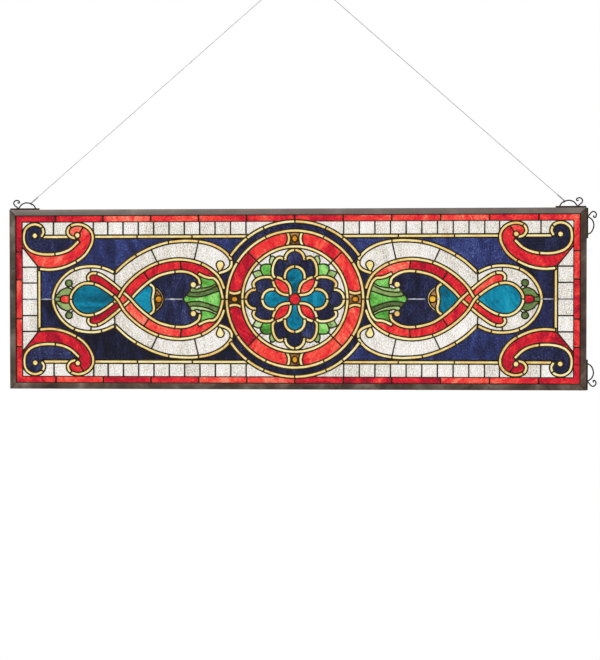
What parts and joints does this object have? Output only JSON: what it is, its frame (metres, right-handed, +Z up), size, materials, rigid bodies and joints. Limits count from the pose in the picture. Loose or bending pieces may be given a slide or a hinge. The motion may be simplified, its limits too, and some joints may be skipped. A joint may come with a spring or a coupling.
{
  "type": "stained glass window panel",
  "caption": "Long leaded stained glass panel with gold strapwork scrolls, side loops and a round flower medallion, framed in dark metal, with bent wire hangers and a hanging wire.",
  "frame": {"origin": "top of the inside of the steel hanging ring, where a hook bears, above the middle of the panel", "axes": "+X along the panel's width to its right seen from the front, +Y from the front to the back, +Z up"},
  "size_m": [0.9306, 0.008, 0.674],
  "materials": {
    "frame_metal": "dark patinated zinc channel, dull bronze-brown sheen",
    "strapwork": "gold textured glass strips between dark solder lines",
    "red_glass": "streaky translucent red glass",
    "white_glass": "clear rippled glass",
    "navy_glass": "streaky dark blue glass",
    "blue_glass": "streaky deep blue glass",
    "teal_glass": "streaky teal glass",
    "green_glass": "streaky leaf green glass",
    "wire_steel": "tinned and bare steel wire"
  },
  "bodies": {
    "root": {"blue_end_left": "blue_glass", "blue_end_right": "blue_glass", "blue_field_bottom_left": "blue_glass", "blue_field_bottom_right": "blue_glass", "blue_field_top_left": "blue_glass", "blue_field_top_right": "blue_glass", "frame_bottom": "frame_metal", "frame_left": "frame_metal", "frame_right": "frame_metal", "frame_top": "frame_metal", "green_palmette_left": "green_glass", "green_palmette_right": "green_glass", "hanger_side_lower": "wire_steel", "hanger_side_upper": "wire_steel", "hanger_top_left": "wire_steel", "hanger_top_right": "wire_steel", "hanging_ring": "wire_steel", "hanging_wire_left": "wire_steel", "hanging_wire_right": "wire_steel", "navy_field_left": "navy_glass", "navy_field_right": "navy_glass", "navy_lens_bottom_left": "navy_glass", "navy_lens_bottom_right": "navy_glass", "navy_lens_top_left": "navy_glass", "navy_lens_top_right": "navy_glass", "navy_lobe_bottom": "navy_glass", "navy_lobe_left": "navy_glass", "navy_lobe_right": "navy_glass", "navy_lobe_top": "navy_glass", "navy_ring_bottom": "navy_glass", "navy_ring_top": "navy_glass", "red_arc_bottom_left": "red_glass", "red_arc_bottom_right": "red_glass", "red_arc_top_left": "red_glass", "red_arc_top_right": "red_glass", "red_border": "red_glass", "red_ribbon_bottom_left": "red_glass", "red_ribbon_bottom_right": "red_glass", "red_ribbon_top_left": "red_glass", "red_ribbon_top_right": "red_glass", "red_scroll_bottom_left": "red_glass", "red_scroll_bottom_right": "red_glass", "red_scroll_top_left": "red_glass", "red_scroll_top_right": "red_glass", "strapwork_and_leading": "strapwork", "teal_drop_left": "teal_glass", "teal_drop_right": "teal_glass", "teal_heart_left": "teal_glass", "teal_heart_right": "teal_glass", "white_band_bottom_left": "white_glass", "white_band_bottom_right": "white_glass", "white_band_top_left": "white_glass", "white_band_top_right": "white_glass", "white_column_left": "white_glass", "white_column_right": "white_glass", "white_row_bottom_left": "white_glass", "white_row_bottom_right": "white_glass", "white_row_top_left": "white_glass", "white_row_top_right": "white_glass"}
  },
  "joints": []
}
